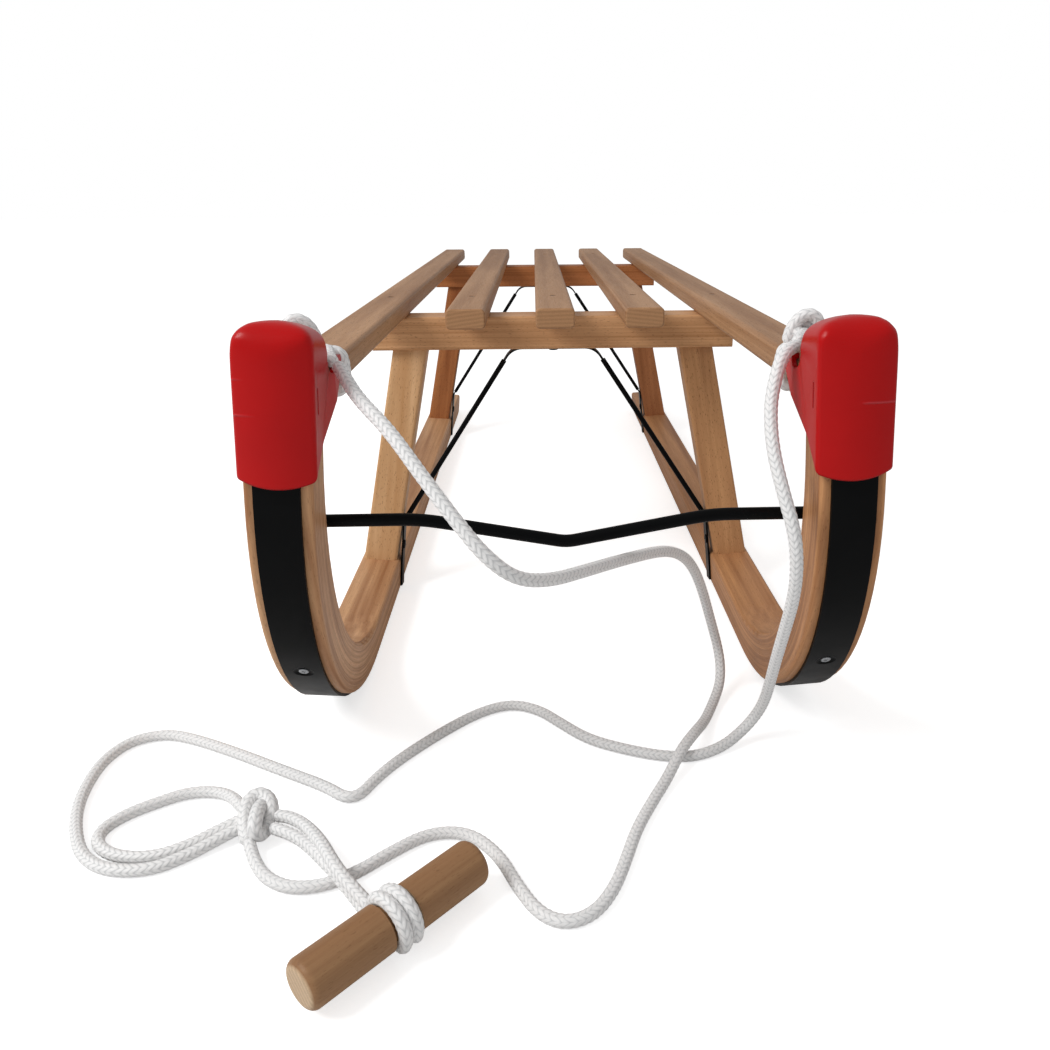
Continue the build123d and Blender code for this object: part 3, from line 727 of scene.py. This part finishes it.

# %% Beech on the crossbars and legs, with painted light and shade in their tones
front_bar_beech = beech("front_crossbar_beech", "DFAE80", "B07F55", "7A5434", grain=(1, 0, 0), rays=0.8)
dress(["front_crossbar"], front_bar_beech)
# Painted shade: the rear crossbar, under the seat, is given darker beech than the front one
rear_bar_painted_shade_beech = beech("rear_crossbar_painted_shade_beech", "BC784A", "955A30", "5E3A1C", grain=(1, 0, 0), rays=0.8)
dress(["rear_crossbar"], rear_bar_painted_shade_beech)
# Painted light and shade: the front right leg, on the lamp's side, is paler than the front left, and the rear
# legs, under the seat, are darker
leg_tones_painted_light = {
    "front_leg_left": ("CB9869", "A1714B", "6A482A"),
    "front_leg_right": ("DBB286", "BA8A5C", "7A5230"),
    "rear_leg_left": ("B2744A", "8C5530", "54341C"),
    "rear_leg_right": ("AE7042", "884E29", "54341C"),
}
leg_width = 28.0 * mm
leg_depth = 20.0 * mm
for side in ("left", "right"):
    low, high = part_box("front_leg_" + side)
    spread = high[0] - low[0] - leg_width
    rake = high[1] - low[1] - leg_depth
    inwards = -spread if side == "left" else spread
    grain = (inwards, rake, high[2] - low[2])
    for row in ("front", "rear"):
        leg = f"{row}_leg_{side}"
        dress([leg], beech(leg + "_beech", *leg_tones_painted_light[leg], grain=grain))

# %% Beech on the slats and handle
slat_beech = beech("slat_beech", "B88E69", "926846", "5F4028", end="AC825D")
slats = ["outer_slat_right", "inner_slat_right", "middle_slat", "inner_slat_left", "outer_slat_left"]
dress(slats, slat_beech)
along_handle = (math.cos(math.radians(handle_angle)), math.sin(math.radians(handle_angle)), 0)
handle_beech = beech(
    "turned_beech", "A6805B", "886244", "6B4A30", grain=along_handle, end="C8AC8C", rays=0.6, growth=0.3
)
dress(["pull_handle"], handle_beech)

# %% [markdown]
# ## Black steel
# The shoes, braces and tie bar are mild steel with a thin black lacquer: nearly black, satin, with
# a faint unevenness that breaks up the sheen.

# %% Black lacquered steel
def black_lacquer(name, code, roughness):
    material, tree, shader = new_finish(name)
    place = object_millimetres(tree)
    clouds = add(tree, "TexNoise", {"Vector": place, "Scale": 0.05, "Detail": 5.0}).outputs["Fac"]
    grit = add(tree, "TexNoise", {"Vector": place, "Scale": 1.6, "Detail": 2.0}).outputs["Fac"]
    tint = add(tree, "Mix", {0: clouds, 6: colour(code), 7: colour("0A0B0C")}, data_type="RGBA").outputs[2]
    tree.links.new(tint, shader.inputs["Base Color"])
    spread = {"Value": clouds, 1: 0.3, 2: 0.7, 3: roughness - 0.06, 4: roughness + 0.08}
    sheen = add(tree, "MapRange", spread).outputs[0]
    tree.links.new(sheen, shader.inputs["Roughness"])
    bump = add(tree, "Bump", {"Height": grit, "Strength": 0.2, "Distance": 0.05 * mm})
    tree.links.new(bump.outputs[0], shader.inputs["Normal"])
    shader.inputs["IOR"].default_value = 1.5
    shader.inputs["Specular IOR Level"].default_value = 0.07
    return material


shoe_lacquer = black_lacquer("black_lacquered_steel_strip", "030303", 0.34)
dress(["runner_shoe_left", "runner_shoe_right"], shoe_lacquer)
rod_lacquer = black_lacquer("black_lacquered_steel_rod", "040405", 0.3)
dress(["front_brace", "rear_brace", "front_tie_bar"], rod_lacquer)

# %% [markdown]
# ## Red plastic caps
# The nose caps are moulded in red polypropylene. The surface is satin with a very fine grain from
# the mould, and light reaches a little way into it.

# %% Moulded red plastic, with faint raised lines where the mould's parts met, painted paler along them as a painted highlight
# Each line's height, and where across the sled it starts and is full, in millimetres
mould_lines_and_highlights = ((253.0, -150.0, -162.0), (236.0, -146.0, -162.0), (238.5, 139.0, 143.0))


def moulded_plastic(name, code):
    material, tree, shader = new_finish(name)
    place = object_millimetres(tree)
    flow = add(tree, "TexNoise", {"Vector": place, "Scale": 0.045, "Detail": 3.0}).outputs["Fac"]
    grit = add(tree, "TexNoise", {"Vector": place, "Scale": 2.2, "Detail": 1.0}).outputs["Fac"]
    tint = add(tree, "MapRange", {"Value": flow, 1: 0.3, 2: 0.7, 3: 0.0, 4: 0.25}).outputs[0]
    tint = add(tree, "Mix", {0: tint, 6: colour(code), 7: colour("A0080A")}, data_type="RGBA").outputs[2]
    soft = add(tree, "Bevel", {"Radius": 1.2 * mm}, samples=6).outputs[0]
    bump = add(tree, "Bump", {"Height": grit, "Strength": 0.15, "Distance": 0.05 * mm, "Normal": soft})
    split = add(tree, "SeparateXYZ", {"Vector": place})
    ridges_and_highlights = 0.0
    for height, start, full in mould_lines_and_highlights:
        above = add(tree, "Math", {0: split.outputs["Z"], 1: height}, operation="SUBTRACT").outputs[0]
        away = add(tree, "Math", {0: above}, operation="ABSOLUTE").outputs[0]
        ridge_and_highlight = add(tree, "MapRange", {"Value": away, 1: 0.1, 2: 0.8, 3: 1.0, 4: 0.0}).outputs[0]
        reach = add(tree, "MapRange", {"Value": split.outputs["X"], 1: start, 2: full}).outputs[0]
        ridge_and_highlight = add(tree, "Math", {0: ridge_and_highlight, 1: reach}, operation="MULTIPLY").outputs[0]
        ridges_and_highlights = add(tree, "Math", {0: ridge_and_highlight, 1: ridges_and_highlights}, operation="MAXIMUM").outputs[0]
    # Painted highlight: along the lines the red is mixed towards a paler red, on top of the raised relief
    # below
    pale = add(tree, "Math", {0: ridges_and_highlights, 1: 0.3}, operation="MULTIPLY").outputs[0]
    tint = add(tree, "Mix", {0: pale, 6: tint, 7: colour("E0606A")}, data_type="RGBA").outputs[2]
    tree.links.new(tint, shader.inputs["Base Color"])
    raised = {"Height": ridges_and_highlights, "Strength": 1.0, "Distance": 0.5 * mm, "Normal": bump.outputs[0]}
    lines = add(tree, "Bump", raised)
    tree.links.new(lines.outputs[0], shader.inputs["Normal"])
    shader.inputs["Roughness"].default_value = 0.3
    shader.inputs["IOR"].default_value = 1.49
    shader.inputs["Specular IOR Level"].default_value = 0.17
    return material


red_plastic = moulded_plastic("red_polypropylene", "B80A0C")
dress(["cap_left", "cap_right"], red_plastic)

# %% [markdown]
# ## White braided rope
# The rope is bright polypropylene. Grooves between its strands are painted grey, a painted shade on top of
# their real depth, and each strand is a bundle of yarns, drawn as fine lines that slant the way the strand
# does.

# %% Braided rope finish
yarns_per_strand = 4  # coarser than the real yarns, which are too fine to show


def braided_rope(name):
    material, tree, shader = new_finish(name)
    lay = add(tree, "SeparateXYZ", {0: add(tree, "UVMap", uv_map="braid").outputs["UV"]})
    place = add(tree, "TexCoord").outputs["Object"]
    loose = add(tree, "TexNoise", {"Vector": place, "Scale": 220.0, "Detail": 1.0}).outputs["Fac"]
    # Each row of the table below names its result, the sum, and what goes in
    known = {"stitches": lay.outputs["X"], "round": lay.outputs["Y"], "loose": loose}
    sums = (
        ("column", "FLOOR", "round"),
        ("across", "SUBTRACT", "round", "column"),
        ("odd", "MODULO", "column", 2.0),
        ("slant", "MULTIPLY_ADD", "odd", -2.0, 1.0),
        ("lean", "MULTIPLY_ADD", "across", 0.9, -0.45),
        ("shift", "MULTIPLY", "slant", "lean"),
        ("wander", "MULTIPLY_ADD", "loose", 0.7, "shift"),
        ("phase", "ADD", "stitches", "wander"),
        ("turns", "MULTIPLY", "phase", 2 * math.pi),
        ("ripple", "COSINE", "turns"),
        ("wave", "MULTIPLY_ADD", "ripple", 0.5, 0.5),
        ("strand", "SQRT", "wave"),
        ("half_turn", "MULTIPLY", "across", math.pi),
        ("arch", "SINE", "half_turn"),
        ("edge", "SQRT", "arch"),
        ("strand_height", "MULTIPLY_ADD", "strand", 0.65, 0.35),
        ("edge_height", "MULTIPLY_ADD", "edge", 0.45, 0.55),
        ("height", "MULTIPLY", "strand_height", "edge_height"),
        ("yarn_turns", "MULTIPLY", "phase", 2 * math.pi * yarns_per_strand),
        ("yarns", "SINE", "yarn_turns"),
        ("lift", "MULTIPLY_ADD", "yarns", 0.08, "height"),
    )
    for result, operation, *values in sums:
        inputs = {i: known[v] if isinstance(v, str) else v for i, v in enumerate(values)}
        known[result] = add(tree, "Math", inputs, operation=operation).outputs[0]
    height = known["height"]
    speck = add(tree, "TexNoise", {"Vector": place, "Scale": 900.0, "Detail": 2.0}).outputs["Fac"]
    # Painted shade: the colour is greyer where the braid's surface is low, in the grooves between strands
    painted_groove_shade = add(tree, "MapRange", {"Value": height, 1: 0.2, 2: 0.75}).outputs[0]
    tint = add(tree, "Mix", {0: painted_groove_shade, 6: colour("C6C7C7"), 7: colour("F3F2F1")}, data_type="RGBA").outputs[2]
    dull = add(tree, "MapRange", {"Value": speck, 1: 0.3, 2: 0.7, 3: 0.12, 4: 0.0}).outputs[0]
    tint = add(tree, "Mix", {0: dull, 6: tint, 7: colour("8E8F92")}, data_type="RGBA").outputs[2]
    tree.links.new(tint, shader.inputs["Base Color"])
    bump = add(tree, "Bump", {"Height": known["lift"], "Strength": 0.5, "Distance": 0.25 * mm})
    tree.links.new(bump.outputs[0], shader.inputs["Normal"])
    shader.inputs["Roughness"].default_value = 0.6
    shader.inputs["Sheen Weight"].default_value = 0.15
    return material


white_rope = braided_rope("white_polypropylene_braid")
rope_pieces = ["knot", "handle_turns", "slat_hitch_left", "slat_hitch_right"] + [row[0] for row in free_ropes]
dress(rope_pieces, white_rope)

# %% [markdown]
# ## Screws
# Small countersunk screws hold the slats, pan-head screws the braces and the tie bar, and sunk
# screws the shoes. A head is a short cylinder with a rounded rim. Cutting it by four pairs of
# planes leaves a cross on its top, which is pushed in for the driver.

# %% One screw head
def screw_head(radius, height, rim):
    """Mesh of a head standing on Z = 0, with a cross recess in its top."""
    bm = bmesh.new()
    bmesh.ops.create_cone(bm, cap_ends=True, segments=32, radius1=radius, radius2=radius, depth=height)
    bmesh.ops.translate(bm, verts=bm.verts, vec=(0, 0, height / 2))
    top = [e for e in bm.edges if min(v.co.z for v in e.verts) > height * 0.9]
    bmesh.ops.bevel(bm, geom=top, offset=rim, segments=4, profile=0.5, affect="EDGES", material=-1)
    half, reach = radius * 0.1, radius * 0.5
    for normal in ((1, 0, 0), (0, 1, 0)):
        for offset in (-reach, -half, half, reach):
            place = Vector(normal) * offset
            geom = bm.verts[:] + bm.edges[:] + bm.faces[:]
            bmesh.ops.bisect_plane(bm, geom=geom, plane_co=place, plane_no=normal)

    def in_cross(face):
        x, y, z = face.calc_center_median()
        x, y = abs(x), abs(y)
        return z > height * 0.95 and max(x, y) < reach and min(x, y) < half

    cross = [f for f in bm.faces if in_cross(f)]
    cut = bmesh.ops.extrude_face_region(bm, geom=cross)["geom"]
    floor = [g for g in cut if isinstance(g, bmesh.types.BMVert)]
    bmesh.ops.delete(bm, geom=cross, context="FACES")
    bmesh.ops.translate(bm, verts=floor, vec=(0, 0, -height * 0.5))
    mesh = bpy.data.meshes.new("head")
    bm.to_mesh(mesh)
    bm.free()
    return mesh


def add_screws(name, head, places):
    """One piece with a head at each place; a place is a matrix whose Z points out of the head."""
    joined = bmesh.new()
    for place in places:
        before = len(joined.verts)
        joined.from_mesh(head)
        joined.verts.ensure_lookup_table()
        bmesh.ops.transform(joined, matrix=place, verts=joined.verts[before:])
    mesh = bpy.data.meshes.new(name)
    joined.to_mesh(mesh)
    joined.free()
    print(name, len(places), "heads")
    return add_piece(name, mesh)


def facing(place, out, spin=0.0):
    """Matrix at a place with Z along a direction."""
    turn = Vector(out).to_track_quat("Z", "Y").to_matrix().to_4x4()
    return Matrix.Translation(place) @ turn @ Matrix.Rotation(spin, 4, "Z")


# %% Slat screws
slat_sink = 1.2 * mm
slat_head = screw_head(2.7 * mm, 0.9 * mm, 0.25 * mm)
places = []
for bar in ("front_crossbar", "rear_crossbar"):
    y = middle(bar).y
    for slat in slats:
        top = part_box(slat)[1][2]
        places.append(facing((middle(slat).x, y, top - slat_sink), (0, 0, 1), spin=0.4 * len(places)))
add_screws("slat_screws", slat_head, places)

# %% Shoe screws
shoe_head = screw_head(2.9 * mm, 0.95 * mm, 0.5 * mm)
lean = math.radians(4.2)  # each runner leans out at the top
lift = 11.5 * mm * math.sin(lean)  # so its sole's middle is off the ground
sink = 1.0 * mm
radius = 190.0 * mm
bend_angle = math.radians(37.0)
sole_screws = (-0.24, 0.0, 0.24, 0.44)  # metres along the sole
low_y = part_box("runner_shoe_left")[0][1]
foot_x = 156.5 * mm
places = []
for sign in (1, -1):
    stand = Matrix.Translation((sign * foot_x, 0, lift)) @ Matrix.Rotation(-sign * lean, 4, "Y")
    spots = [((0, y, sink), (0, 0, -1)) for y in sole_screws]
    out = Vector((0, -math.cos(bend_angle), -math.sin(bend_angle)))
    spots.append((Vector((0, low_y + radius, radius)) + out * (radius - sink), out))
    for place, out in spots:
        places.append(stand @ facing(place, out, spin=0.5))
add_screws("shoe_screws", shoe_head, places)

# %% Brace and tie bar screws
pan_head = screw_head(4.0 * mm, 1.4 * mm, 0.9 * mm)
foot_plate = Vector((134.165, -33.4, 38.6)) * mm  # from the middle, the brace's back and its lowest edge
plate_facing = (-0.9954, -0.0133, -0.0951)
bar_end = Vector((144.2, 168.4)) * mm  # out from the middle, and up
places = []
for brace in ("front_brace", "rear_brace"):
    low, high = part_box(brace)
    for sign in (1, -1):
        knee = Vector((sign * foot_plate.x, high[1] + foot_plate.y, low[2] + foot_plate.z))
        out = (sign * plate_facing[0], *plate_facing[1:])
        places.append(facing(knee, out, spin=0.3))
    under = Vector((0, high[1] - 6.0 * mm, high[2] - 1.6 * mm))
    places.append(facing(under, (0, 0, -1)))
tie_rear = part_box("front_tie_bar")[1][1]
for sign in (1, -1):
    places.append(facing((sign * bar_end.x, tie_rear, bar_end.y), (0, 1, 0), spin=0.7))
add_screws("frame_screws", pan_head, places)

# %% Zinc and black screw finishes
def plated(name, code, roughness):
    material, tree, shader = new_finish(name)
    place = object_millimetres(tree)
    clouds = add(tree, "TexNoise", {"Vector": place, "Scale": 0.9, "Detail": 3.0}).outputs["Fac"]
    tint = add(tree, "Mix", {0: clouds, 6: colour(code), 7: colour("8D9094")}, data_type="RGBA").outputs[2]
    tree.links.new(tint, shader.inputs["Base Color"])
    spread = {"Value": clouds, 1: 0.3, 2: 0.7, 3: roughness - 0.08, 4: roughness + 0.1}
    gloss = add(tree, "MapRange", spread).outputs[0]
    tree.links.new(gloss, shader.inputs["Roughness"])
    shader.inputs["Metallic"].default_value = 1.0
    return material


dress(["shoe_screws"], plated("zinc_plated_steel", "B9BBBE", 0.3))
dress(["frame_screws"], rod_lacquer)
dress(["slat_screws"], plated("dark_burnished_steel", "3A332C", 0.5))

# %% [markdown]
# ## Light and floor
# Soft daylight from all round, with one large lamp above the left shoulder of the viewer. The
# floor and everything behind it are white to the camera.

# %% Floor
bm = bmesh.new()
bmesh.ops.create_grid(bm, x_segments=1, y_segments=1, size=12.0)
floor_mesh = bpy.data.meshes.new("floor")
bm.to_mesh(floor_mesh)
bm.free()
floor = bpy.data.objects.new("floor", floor_mesh)
bpy.context.collection.objects.link(floor)
floor_paint, tree, shader = new_finish("white_paper")
grain_ = add(tree, "TexNoise", {"Scale": 3.0, "Detail": 2.0}).outputs["Fac"]
tint = add(tree, "MapRange", {"Value": grain_, 3: 0.78, 4: 0.8}).outputs[0]
tree.links.new(tint, shader.inputs["Base Color"])
shader.inputs["Roughness"].default_value = 0.9
shader.inputs["Specular IOR Level"].default_value = 0.0
seen = add(tree, "LightPath").outputs["Is Camera Ray"]
shader.inputs["Emission Color"].default_value = (1, 1, 1, 1)
glow = add(tree, "Math", {0: seen, 1: 0.64}, operation="MULTIPLY").outputs[0]
tree.links.new(glow, shader.inputs["Emission Strength"])
dress(["floor"], floor_paint)

# %% World and lamp
world = bpy.data.worlds.new("studio")
bpy.context.scene.world = world
world.use_nodes = True
tree = world.node_tree
sky = tree.nodes["Background"]
sky.inputs["Color"].default_value = (1, 1, 1, 1)
ray = add(tree, "LightPath")
straight_rays = {0: ray.outputs["Is Camera Ray"], 1: ray.outputs["Is Transmission Ray"]}
seen = add(tree, "Math", straight_rays, operation="MAXIMUM").outputs[0]
level = add(tree, "MapRange", {"Value": seen, 3: 0.5, 4: 1.0}).outputs[0]
tree.links.new(level, sky.inputs["Strength"])

lamp_data = bpy.data.lights.new("softbox", "AREA")
lamp_data.shape = "DISK"
lamp_data.size = 0.9
lamp_data.energy = 24.0
lamp = bpy.data.objects.new("softbox", lamp_data)
lamp.location = (-1.3, -0.9, 1.5)
lamp.rotation_euler = (Vector((0, -0.2, 0.1)) - lamp.location).to_track_quat("-Z", "Y").to_euler()
bpy.context.collection.objects.link(lamp)
bpy.context.scene.view_settings.view_transform = "Standard"
